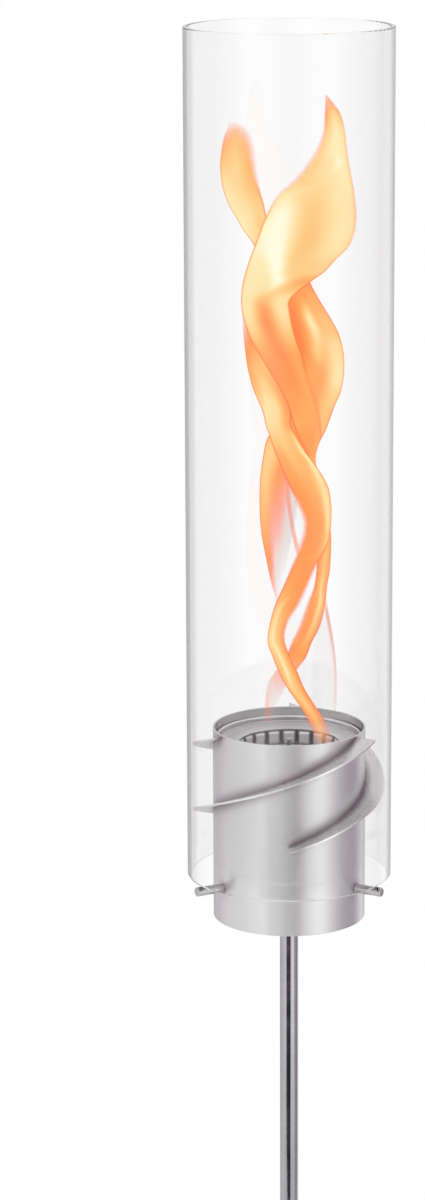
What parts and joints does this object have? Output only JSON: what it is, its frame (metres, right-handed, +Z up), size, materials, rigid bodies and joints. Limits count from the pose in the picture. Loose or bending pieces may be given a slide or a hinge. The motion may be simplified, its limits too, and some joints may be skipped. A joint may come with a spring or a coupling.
{
  "type": "garden torch",
  "caption": "Stake-mounted garden torch: brushed steel burner housing with helical swirl fins under a tall clear glass chimney, on a slim screwed rod.",
  "frame": {"origin": "on the stake's axis at the ground line, with the spike below it", "axes": "+Z up along the stake towards the chimney; the front of the torch faces -Y, with one rest pin straight behind at +Y"},
  "size_m": [0.11, 0.1123, 1.5285],
  "materials": {
    "brushed_steel": "fine circumferential brushing",
    "burner_steel": "satin pressed sheet",
    "rod_steel": "bright drawn bar",
    "polished_steel": "polished",
    "fastener_steel": "plain machined",
    "gauze_wire": "woven wire",
    "ceramic_fibre": "soft white fibre",
    "clear_glass": "clear drawn tube"
  },
  "bodies": {
    "stand": {"ground_spike": "rod_steel", "middle_rod": "rod_steel", "upper_rod": "rod_steel", "lower_joint_stud": "fastener_steel", "upper_joint_stud": "fastener_steel", "head_stud": "fastener_steel", "stake_boss": "brushed_steel", "base_cup": "brushed_steel", "housing_shell": "brushed_steel", "pin_nuts": "fastener_steel", "rest_pin_1": "polished_steel", "rest_pin_2": "polished_steel", "rest_pin_3": "polished_steel", "swirl_fin_1": "brushed_steel", "swirl_fin_2": "brushed_steel", "swirl_fin_3": "brushed_steel"},
    "chimney": {"glass_chimney": "clear_glass"},
    "burner": {"burner_can": "burner_steel", "burner_lid": "burner_steel", "slotted_collar": "burner_steel", "fibre_core": "ceramic_fibre"},
    "gauze_insert": {"support_plate": "burner_steel", "wire_gauze": "gauze_wire", "gauze_washer": "fastener_steel", "centre_post": "polished_steel", "post_nut": "fastener_steel"}
  },
  "joints": [
    {"name": "chimney_lift", "type": "slide", "parent": "stand", "child": "chimney", "axis": [0, 0, 1], "range_m": [0, 0.12]},
    {"name": "burner_lift", "type": "slide", "parent": "stand", "child": "burner", "axis": [0, 0, 1], "range_m": [0, 0.1]},
    {"name": "insert_lift", "type": "slide", "parent": "burner", "child": "gauze_insert", "axis": [0, 0, 1], "range_m": [0, 0.03]}
  ]
}
